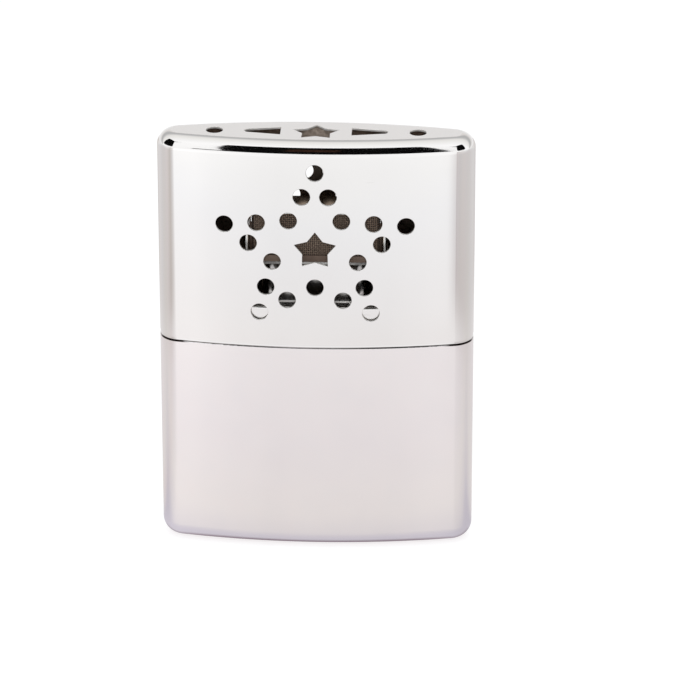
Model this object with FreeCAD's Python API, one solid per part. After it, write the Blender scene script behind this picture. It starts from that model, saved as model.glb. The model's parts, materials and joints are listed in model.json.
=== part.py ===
import FreeCAD, Part
import math
import os

from FreeCAD import Vector

# Catalytic hand warmer, in millimetres.
# X runs across the face, -Y is the front and +Z is up.
# The origin is the middle of the flat base on which the tank stands.

# ---- Driving dimensions ----------------------------------------------------

# Body: a lens-shaped section, two shallow face arcs joined by two small side arcs
body_width = 68.0
body_depth = 16.0
body_height = 95.0
seam_height = 48.0          # where the cap's rim meets the tank's rim
side_radius = 5.0
top_round = 3.0
base_round = 3.8
rim_bevel = 0.2             # both rims at the seam

# Cap
cap_wall = 0.5
cap_clearance = 0.2         # gap between the cap and the collar, all round

# Star of round holes in the cap's front and back, with a small star in its middle
star_height = 22.6          # the star's centre above the seam
star_tip_radius = 20.4
star_notch_radius = 9.65
star_squash = 0.876         # the star of holes is a little lower than a regular one
star_points = 5
hole_diameter = 3.7
small_star_radius = 4.7
small_star_squash = 0.91
star_notch_ratio = 0.6      # both cut-out stars have short, broad points

# Cut-outs in the cap's top
top_star_width = 9.8
top_star_depth = 7.4
wedge_inner_x = 7.6
wedge_outer_x = 15.3
wedge_wide = 4.2
wedge_narrow = 1.8
top_hole_x = 21.7
top_hole_diameter = 3.6

# Collar and deck, drawn from one sheet and pressed into the tank
collar_wall = 0.5
collar_seat = 7.5           # depth of the collar inside the tank
collar_rise = 9.3           # height of the deck above the seam
collar_bevel = 0.7

# Filler neck, which stands in the deck on its own flange
neck_width = 24.0
neck_depth = 6.4
neck_wall = 0.5
neck_rise = 6.4
flange_width = 1.6
flange_thickness = 0.5

# Screen in the neck, the felt pad below it and the wadding in the tank
screen_thickness = 0.4
screen_drop = 3.6           # from the neck's mouth down to the screen
screen_hole = 1.6
screen_pitch = 3.2
soft_clearance = 0.3        # between a soft piece and what surrounds it
felt_thickness = 4.0

# Burner
burner_clearance = 0.12     # gap between the burner's sleeve and the neck
seat_wall = 0.4
seat_height = 8.6           # from the deck up to the tray
foot_lip = 0.5              # the sleeve's foot is turned out, to rest on the deck
foot_height = 0.4
tray_height = 2.0
tray_corner = 0.5
frame_width = 30.0
frame_depth = 9.0
frame_wall = 0.4
frame_lip = 0.2
frame_corner = 3.0
frame_overlap = 2.8         # how far the strap's legs reach down below the tray's floor
frame_height = 21.0         # from the deck to the strap's top
floor_thickness = 0.4
floor_hole = 1.8
floor_pitch = 3.6
gauze_thickness = 0.4
gauze_clearance = 0.05
mat_clearance = 0.3

# ---- Sizes that follow from them -------------------------------------------

collar_inset = cap_wall + cap_clearance
tank_wall = collar_inset    # the collar stands flush against the tank's inside
inner_inset = collar_inset + collar_wall

side_x = body_width / 2 - side_radius
face_radius = (side_x ** 2 + body_depth ** 2 / 4 - side_radius ** 2) / (body_depth - 2 * side_radius)
face_centre = face_radius - body_depth / 2
blend_angle = math.asin(side_x / (face_radius - side_radius))

cap_roof = body_height - cap_wall
deck_top = seam_height + collar_rise
deck_bottom = deck_top - collar_wall
neck_top = deck_top + neck_rise
screen_top = neck_top - screen_drop
screen_bottom = screen_top - screen_thickness
felt_bottom = screen_bottom - felt_thickness
bore_width = neck_width - 2 * neck_wall
bore_depth = neck_depth - 2 * neck_wall

sleeve_width = neck_width + 2 * burner_clearance
sleeve_depth = neck_depth + 2 * burner_clearance
tray_floor = deck_top + seat_height
tray_top = tray_floor + tray_height
tray_width = frame_width - 2 * frame_wall
tray_depth = frame_depth - 2 * frame_wall
frame_top = deck_top + frame_height
frame_bottom = tray_floor - frame_overlap
frame_roof = frame_top - frame_wall
inner_corner = frame_corner - frame_wall
plate_top = tray_floor + seat_wall + floor_thickness

reach = 2 * body_depth      # longer than anything it cuts through


# ---- Outlines and basic forms ----------------------------------------------

def lens_prism(inset, bottom, top):
    """The body's section, moved in by inset, from one height to another."""
    end_radius = side_radius - inset
    arc_radius = face_radius - inset
    touch_x = side_x + end_radius * math.sin(blend_angle)
    touch_y = end_radius * math.cos(blend_angle)
    front = Vector(0, face_centre - arc_radius, bottom)
    back = Vector(0, arc_radius - face_centre, bottom)
    edges = [
        Part.Arc(Vector(-touch_x, -touch_y, bottom), front, Vector(touch_x, -touch_y, bottom)).toShape(),
        Part.Arc(Vector(touch_x, -touch_y, bottom), Vector(side_x + end_radius, 0, bottom),
                 Vector(touch_x, touch_y, bottom)).toShape(),
        Part.Arc(Vector(touch_x, touch_y, bottom), back, Vector(-touch_x, touch_y, bottom)).toShape(),
        Part.Arc(Vector(-touch_x, touch_y, bottom), Vector(-side_x - end_radius, 0, bottom),
                 Vector(-touch_x, -touch_y, bottom)).toShape(),
    ]
    return Part.Face(Part.Wire(edges)).extrude(Vector(0, 0, top - bottom))


def level_edges(solid, level):
    """Every edge of the solid that lies flat at one height."""
    return [edge for edge in solid.Edges
            if all(abs(vertex.Z - level) < 1e-6 for vertex in edge.Vertexes)]


def inner_bevel(outer_round, wall):
    """The bevel that keeps a sheet's full wall behind a rounded outer edge."""
    return (outer_round - wall) * (2 - math.sqrt(2))


def oblong_face(width, depth, corner, level):
    """A rounded rectangle; a corner of half the depth makes it a slot with round ends."""
    half_x, half_y = width / 2, depth / 2
    corner = min(corner, half_y)
    slant = corner * (1 - math.sqrt(0.5))
    quarter = [
        (Vector(half_x - corner, -half_y, level), Vector(half_x - slant, -half_y + slant, level),
         Vector(half_x, -half_y + corner, level)),
        (Vector(half_x, half_y - corner, level), Vector(half_x - slant, half_y - slant, level),
         Vector(half_x - corner, half_y, level)),
        (Vector(-half_x + corner, half_y, level), Vector(-half_x + slant, half_y - slant, level),
         Vector(-half_x, half_y - corner, level)),
        (Vector(-half_x, -half_y + corner, level), Vector(-half_x + slant, -half_y + slant, level),
         Vector(-half_x + corner, -half_y, level)),
    ]
    edges = []
    for index, (start, middle, end) in enumerate(quarter):
        edges.append(Part.Arc(start, middle, end).toShape())
        following = quarter[(index + 1) % len(quarter)][0]
        if end.distanceToPoint(following) > 1e-6:
            edges.append(Part.LineSegment(end, following).toShape())
    return Part.Face(Part.Wire(edges))


def oblong_prism(width, depth, corner, bottom, top):
    return oblong_face(width, depth, corner, bottom).extrude(Vector(0, 0, top - bottom))


def arch_prism(width, bottom, top, corner, depth):
    """An upright slab with round top corners, centred on the XZ plane."""
    half = width / 2
    slant = corner * (1 - math.sqrt(0.5))
    y = -depth / 2
    foot_left, foot_right = Vector(-half, y, bottom), Vector(half, y, bottom)
    right_low, right_high = Vector(half, y, top - corner), Vector(half - corner, y, top)
    left_high, left_low = Vector(-half + corner, y, top), Vector(-half, y, top - corner)
    edges = [
        Part.LineSegment(foot_left, foot_right).toShape(),
        Part.LineSegment(foot_right, right_low).toShape(),
        Part.Arc(right_low, Vector(half - slant, y, top - slant), right_high).toShape(),
        Part.LineSegment(right_high, left_high).toShape(),
        Part.Arc(left_high, Vector(-half + slant, y, top - slant), left_low).toShape(),
        Part.LineSegment(left_low, foot_left).toShape(),
    ]
    return Part.Face(Part.Wire(edges)).extrude(Vector(0, depth, 0))


def star_corners(tip_radius, notch_radius, squash):
    """Tips and notches of a star in turn, as (x, height) pairs, from the top tip round."""
    corners = []
    for index in range(2 * star_points):
        angle = math.pi / 2 - index * math.pi / star_points
        radius = notch_radius if index % 2 else tip_radius
        corners.append((radius * math.cos(angle), squash * radius * math.sin(angle)))
    return corners


def polygon_prism(points, direction):
    return Part.Face(Part.makePolygon(points + points[:1])).extrude(direction)


def drilled_plate(plate, width, depth, diameter, pitch, top, thickness):
    """Staggered rows of round holes across an oblong plate, clear of its edge."""
    radius = diameter / 2
    edge = radius + diameter / 2
    row_step = pitch * math.sqrt(0.75)
    rows = int((depth / 2 - edge) / row_step)
    holes = []
    for row in range(-rows, rows + 1):
        y = row * row_step
        shift = pitch / 2 if row % 2 else 0.0
        columns = int((width / 2 - edge) / pitch) + 1
        for column in range(-columns, columns + 1):
            x = column * pitch + shift
            end_room = width / 2 - depth / 2 + math.sqrt(max((depth / 2 - edge) ** 2 - y ** 2, 0.0))
            if abs(x) <= end_room:
                holes.append(Part.makeCylinder(radius, 3 * thickness, Vector(x, y, top - 2 * thickness)))
    return plate.cut(Part.makeCompound(holes))


# ---- Cap -------------------------------------------------------------------

def face_holes():
    """Twenty round holes along a star's outline, at its corners and half way between them."""
    corners = star_corners(star_tip_radius, star_notch_radius, star_squash)
    centre = seam_height + star_height
    cutters = []
    for index, (x, height) in enumerate(corners):
        next_x, next_height = corners[(index + 1) % len(corners)]
        for hole_x, hole_height in ((x, height), ((x + next_x) / 2, (height + next_height) / 2)):
            start = Vector(hole_x, -reach / 2, centre + hole_height)
            cutters.append(Part.makeCylinder(hole_diameter / 2, reach, start, Vector(0, 1, 0)))
    outline = star_corners(small_star_radius, small_star_radius * star_notch_ratio, small_star_squash)
    points = [Vector(x, -reach / 2, centre + height) for x, height in outline]
    cutters.append(polygon_prism(points, Vector(0, reach, 0)))
    return cutters


def wedge_cutter(side):
    """A slot that tapers outwards, square at its wide end and round at its narrow end."""
    low = body_height - top_round
    wide, narrow = wedge_wide / 2, wedge_narrow / 2
    inner = side * wedge_inner_x
    shoulder = side * (wedge_outer_x - narrow)
    tip = side * wedge_outer_x
    edges = [
        Part.LineSegment(Vector(inner, wide, low), Vector(inner, -wide, low)).toShape(),
        Part.LineSegment(Vector(inner, -wide, low), Vector(shoulder, -narrow, low)).toShape(),
        Part.Arc(Vector(shoulder, -narrow, low), Vector(tip, 0, low),
                 Vector(shoulder, narrow, low)).toShape(),
        Part.LineSegment(Vector(shoulder, narrow, low), Vector(inner, wide, low)).toShape(),
    ]
    return Part.Face(Part.Wire(edges)).extrude(Vector(0, 0, reach))


def top_cutters():
    """Star in the middle of the roof, then a wedge and a round hole to each side."""
    low = body_height - top_round
    tip = top_star_width / 2 / math.cos(math.pi / 2 / star_points)
    squash = top_star_depth / (tip * (1 + math.cos(math.pi / star_points)))
    outline = star_corners(tip, tip * star_notch_ratio, squash)
    lowest = min(y for x, y in outline)
    middle = (outline[0][1] + lowest) / 2
    cutters = [polygon_prism([Vector(x, y - middle, low) for x, y in outline], Vector(0, 0, reach))]
    for side in (-1, 1):
        cutters.append(wedge_cutter(side))
        cutters.append(Part.makeCylinder(top_hole_diameter / 2, reach, Vector(side * top_hole_x, 0, low)))
    return cutters


def make_cap_shell():
    outside = lens_prism(0, seam_height, body_height)
    outside = outside.makeFillet(top_round, level_edges(outside, body_height))
    outside = outside.makeChamfer(rim_bevel, level_edges(outside, seam_height))
    hollow = lens_prism(cap_wall, seam_height - reach, cap_roof)
    hollow = hollow.makeChamfer(inner_bevel(top_round, cap_wall), level_edges(hollow, cap_roof))
    return outside.cut(hollow).cut(Part.makeCompound(face_holes())).cut(Part.makeCompound(top_cutters()))


# ---- Tank ------------------------------------------------------------------

def make_tank_shell():
    outside = lens_prism(0, 0, seam_height)
    outside = outside.makeFillet(base_round, level_edges(outside, 0))
    outside = outside.makeChamfer(rim_bevel, level_edges(outside, seam_height))
    hollow = lens_prism(tank_wall, tank_wall, seam_height + reach)
    hollow = hollow.makeChamfer(inner_bevel(base_round, tank_wall), level_edges(hollow, tank_wall))
    return outside.cut(hollow)


def make_collar_deck():
    outside = lens_prism(collar_inset, seam_height - collar_seat, deck_top)
    outside = outside.makeChamfer(collar_bevel, level_edges(outside, deck_top))
    hollow = lens_prism(inner_inset, seam_height - collar_seat - reach, deck_bottom)
    hollow = hollow.makeChamfer(inner_bevel(collar_bevel, 0), level_edges(hollow, deck_bottom))
    mouth = oblong_prism(neck_width, neck_depth, neck_depth / 2, deck_bottom - reach, deck_top + reach)
    return outside.cut(hollow).cut(mouth)


def make_filler_neck():
    flange_bottom = deck_bottom - flange_thickness
    flange = oblong_prism(neck_width + 2 * flange_width, neck_depth + 2 * flange_width,
                          neck_depth / 2 + flange_width, flange_bottom, deck_bottom)
    tube = oblong_prism(neck_width, neck_depth, neck_depth / 2, flange_bottom, neck_top)
    bore = oblong_prism(bore_width, bore_depth, bore_depth / 2, flange_bottom - reach, neck_top + reach)
    return flange.fuse(tube).cut(bore).removeSplitter()


def make_neck_screen():
    plate = oblong_prism(bore_width, bore_depth, bore_depth / 2, screen_bottom, screen_top)
    return drilled_plate(plate, bore_width, bore_depth, screen_hole, screen_pitch, screen_top,
                         screen_thickness)


def make_wick_felt():
    width, depth = bore_width - 2 * soft_clearance, bore_depth - 2 * soft_clearance
    return oblong_prism(width, depth, depth / 2, felt_bottom, screen_bottom)


def make_wadding():
    """The wad fills the tank up to the felt, with its lower edge clear of the tank's round base."""
    bottom = tank_wall + soft_clearance
    wad = lens_prism(inner_inset + soft_clearance, bottom, felt_bottom)
    return wad.makeChamfer(inner_bevel(base_round, tank_wall), level_edges(wad, bottom))


# ---- Burner ----------------------------------------------------------------

def make_burner_seat():
    """An oblong sleeve with a turned-out foot, which opens out into a shallow tray."""
    sleeve = oblong_prism(sleeve_width + 2 * seat_wall, sleeve_depth + 2 * seat_wall,
                          sleeve_depth / 2 + seat_wall, deck_top, tray_floor + seat_wall)
    foot_edge = seat_wall + foot_lip
    foot = oblong_prism(sleeve_width + 2 * foot_edge, sleeve_depth + 2 * foot_edge,
                        sleeve_depth / 2 + foot_edge, deck_top, deck_top + foot_height)
    tray =oblong_prism(tray_width, tray_depth, tray_corner, tray_floor, tray_top)
    tray_hollow = oblong_prism(tray_width - 2 * seat_wall, tray_depth - 2 * seat_wall,
                               tray_corner - seat_wall, tray_floor + seat_wall, tray_top + reach)
    throat = oblong_prism(sleeve_width, sleeve_depth, sleeve_depth / 2, deck_top - reach, tray_top + reach)
    return sleeve.fuse(foot).fuse(tray).cut(tray_hollow).cut(throat).removeSplitter()


def make_burner_floor():
    width, depth = tray_width - 2 * seat_wall, tray_depth - 2 * seat_wall
    plate = oblong_prism(width, depth, tray_corner - seat_wall, tray_floor + seat_wall, plate_top)
    return drilled_plate(plate, width, depth, floor_hole, floor_pitch, plate_top, floor_thickness)


def make_burner_frame():
    """A strap bent to an upside-down U, its edges turned in to hold the gauze."""
    outside = arch_prism(frame_width, frame_bottom, frame_top, frame_corner, frame_depth)
    channel = arch_prism(frame_width - 2 * frame_wall, frame_bottom - reach, frame_roof, inner_corner,
                         frame_depth - 2 * frame_wall)
    window_inset = frame_wall + frame_lip
    window = arch_prism(frame_width - 2 * window_inset, frame_bottom - reach, frame_top - window_inset,
                        frame_corner - window_inset, reach)
    return outside.cut(channel).cut(window)


def make_gauze(side):
    """A panel of woven wire that stands in the tray, just inside the strap's turned edge."""
    inset = frame_wall + seat_wall + gauze_clearance
    width = frame_width - 2 * inset
    outer_y = frame_depth / 2 - inset
    panel = arch_prism(width, plate_top, frame_roof - gauze_clearance, inner_corner - seat_wall,
                       gauze_thickness)
    panel.translate(Vector(0, side * (outer_y - gauze_thickness / 2), 0))
    return panel


def make_catalyst_mat():
    inset = frame_wall + seat_wall + gauze_clearance
    width = frame_width - 2 * (inset + mat_clearance)
    depth = frame_depth - 2 * (inset + gauze_thickness + mat_clearance)
    return arch_prism(width, plate_top, frame_roof - mat_clearance, inner_corner - seat_wall, depth)


# ---- Build -----------------------------------------------------------------

nodes = {
    "cap_shell": make_cap_shell(),
    "tank_shell": make_tank_shell(),
    "collar_deck": make_collar_deck(),
    "filler_neck": make_filler_neck(),
    "neck_screen": make_neck_screen(),
    "wick_felt": make_wick_felt(),
    "wadding": make_wadding(),
    "burner_seat": make_burner_seat(),
    "burner_floor": make_burner_floor(),
    "burner_frame": make_burner_frame(),
    "front_gauze": make_gauze(-1),
    "rear_gauze": make_gauze(1),
    "catalyst_mat": make_catalyst_mat(),
}

os.makedirs("parts", exist_ok=True)
for name, shape in nodes.items():
    shape.exportStep("parts/" + name + ".step")
    box = shape.BoundBox
    print(name, len(shape.Solids), shape.isValid(), round(shape.Volume, 1),
          [round(v, 2) for v in (box.XMin, box.XMax, box.YMin, box.YMax, box.ZMin, box.ZMax)])
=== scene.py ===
import json
import math

import bmesh
import bpy
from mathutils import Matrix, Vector

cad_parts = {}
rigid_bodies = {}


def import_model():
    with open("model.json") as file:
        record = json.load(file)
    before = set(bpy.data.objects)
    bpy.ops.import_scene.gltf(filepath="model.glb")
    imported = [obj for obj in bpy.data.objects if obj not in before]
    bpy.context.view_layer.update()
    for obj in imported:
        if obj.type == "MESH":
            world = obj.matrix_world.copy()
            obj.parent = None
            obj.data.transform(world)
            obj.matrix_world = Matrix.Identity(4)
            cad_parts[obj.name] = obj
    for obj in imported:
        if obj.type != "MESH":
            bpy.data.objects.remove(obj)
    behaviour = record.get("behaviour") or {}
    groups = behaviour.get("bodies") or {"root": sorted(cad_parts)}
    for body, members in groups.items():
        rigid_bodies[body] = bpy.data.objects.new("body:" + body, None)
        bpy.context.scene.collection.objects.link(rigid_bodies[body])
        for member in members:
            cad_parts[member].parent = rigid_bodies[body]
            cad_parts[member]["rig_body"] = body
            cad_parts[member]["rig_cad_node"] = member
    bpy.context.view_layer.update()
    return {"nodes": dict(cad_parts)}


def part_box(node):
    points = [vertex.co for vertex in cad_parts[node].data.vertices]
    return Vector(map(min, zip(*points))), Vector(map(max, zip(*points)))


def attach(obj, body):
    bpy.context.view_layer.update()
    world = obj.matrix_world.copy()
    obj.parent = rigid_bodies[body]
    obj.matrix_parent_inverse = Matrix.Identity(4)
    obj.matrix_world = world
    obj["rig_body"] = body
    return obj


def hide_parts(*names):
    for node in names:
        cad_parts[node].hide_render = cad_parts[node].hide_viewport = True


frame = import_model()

# Looks of a catalytic hand warmer: a drawn cap over a tank, with the burner between them.
# X runs across the face, -Y is the front and +Z is up; lengths are in metres.

nodes = frame["nodes"]
MM = 0.001
TINY = 0.01 * MM

# ---- Sizes ------------------------------------------------------------------

cap_low, cap_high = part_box("cap_shell")
seam = cap_low.z
top = cap_high.z
half_width = cap_high.x
half_depth = cap_high.y

side_radius = 5.0 * MM
side_x = half_width - side_radius
face_radius = (side_x ** 2 + half_depth ** 2 - side_radius ** 2) / (2 * (half_depth - side_radius))
face_centre = face_radius - half_depth
blend_angle = math.asin(side_x / (face_radius - side_radius))
side_steps = 24

cap_wall = 0.5 * MM
tank_wall = 0.7 * MM
collar_wall = 0.5 * MM
top_round = 3.0 * MM
base_round = 3.8 * MM
deck_round = 0.7 * MM
mouth_width = 24.0 * MM     # the deck's opening, which holds the filler neck
mouth_depth = 6.4 * MM
cap_rim = 0.24 * MM         # the two rims that meet at the seam
tank_rim = 0.34 * MM
rim_flare = 0.12 * MM       # the cap's wall draws in by this much just above its rim
flare_height = 0.5 * MM
punch_round = 0.12 * MM     # edges of everything punched out of the sheet

star_middle = seam + 22.6 * MM
star_tip = 20.4 * MM
star_notch = 9.65 * MM
star_squash = 0.876
star_points = 5
hole_diameter = 3.7 * MM
hole_sides = 40
small_star = 4.7 * MM
small_star_squash = 0.91
notch_ratio = 0.6           # both cut-out stars have short, broad points
top_star_width = 9.8 * MM
top_star_depth = 7.4 * MM
wedge_inner = 7.6 * MM
wedge_outer = 15.3 * MM
wedge_wide = 4.2 * MM
wedge_narrow = 1.8 * MM
top_hole_x = 21.7 * MM
top_hole_diameter = 3.6 * MM
reach = 30 * MM             # longer than anything it cuts through

# Lines that divide the faces, in millimetres; none of them grazes a punched edge
face_lines = (0.55, 1.42, 2.26, 3.3, 5.4, 6.6, 8.3, 9.45, 11.7, 13.1, 15.3, 16.85, 18.4, 19.9, 22.5,
              24.4, 26.5)
wall_lines = (-14.6, -11.9, -8.9, -5.6, -2.0, 2.6, 5.8, 9.5, 12.4, 15.2, 17.9)
roof_lines = (2.45, 6, 9.2, 13.4, 18, 21.7, 25)

tray_height = 2.0 * MM
gauze_pitch = 0.45 * MM
wire_radius = 0.07 * MM
hem_width = 0.45 * MM
hem_depth = 2.4 * wire_radius
wire_sides = 6
steps_per_crossing = 3
strap_corner = 2.4 * MM     # the gauzes follow the strap's round top corners


# ---- Modelling by hand ------------------------------------------------------

def alone(piece):
    """Selects this piece and nothing else."""
    bpy.ops.object.select_all(action="DESELECT")
    piece.select_set(True)
    bpy.context.view_layer.objects.active = piece


def add_new(name, add, **settings):
    """Adds a primitive, a lamp or the camera with nothing else selected, and names it."""
    bpy.ops.object.select_all(action="DESELECT")
    add(**settings)
    bpy.context.object.name = name
    return bpy.context.object


def edit(on):
    bpy.ops.object.mode_set(mode="EDIT" if on else "OBJECT")


def fix_place():
    """Moves an object's place, turn and size into its mesh."""
    bpy.ops.object.transform_apply(location=True, rotation=True, scale=True)


def begin(name, place):
    """A new piece of one point, which draws its outline."""
    piece = add_new(name, bpy.ops.mesh.primitive_plane_add, size=MM)
    edit(True)
    bpy.ops.mesh.select_mode(type="VERT")
    bpy.ops.mesh.merge(type="CENTER")
    bpy.ops.transform.translate(value=place)
    return piece


def line_to(piece, place):
    mesh = bmesh.from_edit_mesh(piece.data)
    pen = next(point.co.copy() for point in mesh.verts if point.select)
    bpy.ops.mesh.extrude_region_move(TRANSFORM_OT_translate={"value": Vector(place) - pen})


def turn(centre, angle, steps):
    """The outline's free end runs anticlockwise about an upright axis."""
    bpy.ops.mesh.spin(steps=steps, angle=-angle, center=centre, axis=(0, 0, 1))


def fill_outline():
    bpy.ops.mesh.select_all(action="SELECT")
    bpy.ops.mesh.remove_doubles(threshold=TINY)
    bpy.ops.mesh.edge_face_add()


def draw_out(step):
    bpy.ops.mesh.extrude_region_move(TRANSFORM_OT_translate={"value": step})


def draw_in(change):
    """Makes the selected outline of the body smaller all round."""
    bpy.ops.transform.resize(value=(1 - change / half_width, 1 - change / half_depth, 1),
                             center_override=(0, 0, 0))


def face_outwards():
    bpy.ops.mesh.select_all(action="SELECT")
    bpy.ops.mesh.normals_make_consistent(inside=False)


def draw_form(step):
    """Closes the outline and draws it out along a step to a closed form."""
    fill_outline()
    draw_out(step)
    face_outwards()
    edit(False)


def at_height(level):
    """A test for what lies flat at one height."""
    return lambda point: abs(point.z - level) < TINY


def pick(piece, kind, test):
    """Selects the points, edges or faces that lie wholly where the test says."""
    bpy.ops.mesh.select_mode(type=kind)
    bpy.ops.mesh.select_all(action="DESELECT")
    mesh = bmesh.from_edit_mesh(piece.data)
    for part in {"VERT": mesh.verts, "EDGE": mesh.edges, "FACE": mesh.faces}[kind]:
        points = [part] if kind == "VERT" else part.verts
        if all(test(point.co) for point in points):
            part.select_set(True)
    bmesh.update_edit_mesh(piece.data)


def divide(piece, test, place, normal):
    """Divides the faces that lie wholly where the test says, along a plane."""
    pick(piece, "FACE", test)
    bpy.ops.mesh.bisect(plane_co=place, plane_no=normal)


def round_level(piece, level, radius, steps):
    """Rounds every edge that lies flat at one height."""
    pick(piece, "EDGE", at_height(level))
    bpy.ops.mesh.bevel(offset=radius, segments=steps, profile=0.5, affect="EDGES", clamp_overlap=False)


def round_sharp(sharpness, radius, steps):
    """Rounds the edges that are sharper than this many degrees."""
    bpy.ops.mesh.select_mode(type="EDGE")
    bpy.ops.mesh.select_all(action="DESELECT")
    bpy.ops.mesh.edges_select_sharp(sharpness=math.radians(sharpness))
    bpy.ops.mesh.bevel(offset=radius, segments=steps, profile=0.5, affect="EDGES", clamp_overlap=False,
                       loop_slide=False)


def use(piece, kind, **settings):
    """Adds a modifier, sets it and applies it."""
    alone(piece)
    bpy.ops.object.modifier_add(type=kind)
    modifier = piece.modifiers[-1]
    for name, value in settings.items():
        setattr(modifier, name, value)
    bpy.ops.object.modifier_apply(modifier=modifier.name)


def join(pieces, name):
    bpy.ops.object.select_all(action="DESELECT")
    for piece in pieces:
        piece.select_set(True)
    bpy.context.view_layer.objects.active = pieces[0]
    bpy.ops.object.join()
    whole = bpy.context.object
    whole.name = name
    return whole


def cut(piece, cutters, finish):
    """Cuts one or more closed forms out of a piece and gives the cut faces a finish."""
    tool = join(cutters, "cutter") if len(cutters) > 1 else cutters[0]
    tool.data.materials.append(finish)
    use(piece, "BOOLEAN", operation="DIFFERENCE", object=tool, solver="EXACT", material_mode="TRANSFER")
    bpy.data.objects.remove(tool)


def repeat(piece, count, step):
    use(piece, "ARRAY", count=count, use_relative_offset=False, use_constant_offset=True,
        constant_offset_displace=step)


def merge_slivers(piece, distance):
    alone(piece)
    edit(True)
    bpy.ops.mesh.select_all(action="SELECT")
    bpy.ops.mesh.remove_doubles(threshold=distance)


def smooth(piece):
    """Smooth faces with crisp edges, where the large faces set the shading."""
    edit(False)
    alone(piece)
    bpy.ops.object.shade_smooth_by_angle(angle=math.radians(35))
    use(piece, "WEIGHTED_NORMAL", mode="FACE_AREA", weight=50, keep_sharp=True)


def copy_of(piece, name):
    alone(piece)
    bpy.ops.object.duplicate()
    bpy.context.object.name = name
    return bpy.context.object


def copy_of_node(node, name):
    """A copy of a CAD solid without its marks and its finish, open for editing."""
    piece = copy_of(nodes[node], name)
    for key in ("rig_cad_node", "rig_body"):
        if key in piece:
            del piece[key]
    piece.parent = None
    piece.data.materials.clear()
    merge_slivers(piece, TINY)
    return piece


def open_shell(piece, level, wall, *finishes, **settings):
    """Takes off the lid at one height and gives the rest its wall and its finishes."""
    pick(piece, "FACE", at_height(level))
    bpy.ops.mesh.delete(type="FACE")
    face_outwards()
    edit(False)
    for finish in finishes:
        piece.data.materials.append(finish)
    use(piece, "SOLIDIFY", thickness=wall, offset=-1, use_even_offset=True, **settings)


def shade_like(piece, form):
    """Where the piece lies on the surface of a plainer form, it takes that form's shading."""
    smooth(form)
    use(piece, "DATA_TRANSFER", object=form, use_loop_data=True, data_types_loops={"CUSTOM_NORMAL"},
        loop_mapping="POLYINTERP_NEAREST", use_max_distance=True, max_distance=TINY)
    bpy.data.objects.remove(form)


def dress(piece, body, node):
    """The piece stands for a node and rides with its body."""
    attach(piece, body)
    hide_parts(node)


# ---- Outlines ---------------------------------------------------------------

def face_turns():
    """The angles from each face line to the next, from one end of a face to the other."""
    half = [math.asin(line * MM / face_radius) for line in face_lines]
    marks = [-blend_angle] + [-angle for angle in reversed(half)] + half + [blend_angle]
    return [following - mark for mark, following in zip(marks, marks[1:])]


def lens_outline(name, inset, level):
    """The body's section: two shallow face arcs joined by two small side arcs."""
    end_radius = side_radius - inset
    touch_x = side_x + end_radius * math.sin(blend_angle)
    touch_y = end_radius * math.cos(blend_angle)
    piece = begin(name, (-touch_x, -touch_y, level))
    for side in (1, -1):
        for angle in face_turns():
            turn((0, side * face_centre, level), angle, 1)
        turn((side * side_x, 0, level), math.pi - 2 * blend_angle, side_steps)
    fill_outline()
    return piece


def slot_punch(name, width, depth, level):
    """A slot with round ends, right through what stands above this level."""
    radius = depth / 2
    end = width / 2 - radius
    piece = begin(name, (-end, -radius, level))
    line_to(piece, (end, -radius, level))
    turn((end, 0, level), math.pi, side_steps)
    line_to(piece, (-end, radius, level))
    turn((-end, 0, level), math.pi, side_steps)
    draw_form((0, 0, reach))
    return piece


def star_corners(tip, notch, squash):
    """Tips and notches in turn, as (across, up) pairs, from the top tip round."""
    corners = []
    for index in range(2 * star_points):
        angle = math.pi / 2 - index * math.pi / star_points
        radius = notch if index % 2 else tip
        corners.append((radius * math.cos(angle), squash * radius * math.sin(angle)))
    return corners


# ---- Cap --------------------------------------------------------------------

def prism(name, places, step):
    """A closed form: an outline through these places, drawn out along a step."""
    piece = begin(name, places[0])
    for place in places[1:] + places[:1]:
        line_to(piece, place)
    draw_form(step)
    return piece


def punch(name, radius, place, rotation=(0, 0, 0)):
    tool = add_new(name, bpy.ops.mesh.primitive_cylinder_add, vertices=hole_sides, radius=radius,
                   depth=reach, location=place, rotation=rotation)
    fix_place()
    return tool


def face_punches():
    """Round holes along a star's outline and a small star in its middle, right through."""
    corners = star_corners(star_tip, star_notch, star_squash)
    tools = []
    for index, (x, up) in enumerate(corners):
        next_x, next_up = corners[(index + 1) % len(corners)]
        for hole_x, hole_up in ((x, up), ((x + next_x) / 2, (up + next_up) / 2)):
            tools.append(punch("face_punch", hole_diameter / 2, (hole_x, 0, star_middle + hole_up),
                               (math.pi / 2, 0, 0)))
    outline = star_corners(small_star, small_star * notch_ratio, small_star_squash)
    tools.append(prism("star_punch", [(x, -reach / 2, star_middle + up) for x, up in outline],
                       (0, reach, 0)))
    return tools


def wedge_punch(side, level):
    """A slot that tapers outwards, square at its wide end and round at its narrow end."""
    wide, narrow = wedge_wide / 2, wedge_narrow / 2
    inner, shoulder = side * wedge_inner, side * (wedge_outer - narrow)
    piece = begin("wedge_punch", (inner, side * wide, level))
    line_to(piece, (inner, -side * wide, level))
    line_to(piece, (shoulder, -side * narrow, level))
    turn((shoulder, 0, level), math.pi, side_steps)
    line_to(piece, (inner, side * wide, level))
    draw_form((0, 0, reach))
    return piece


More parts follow.
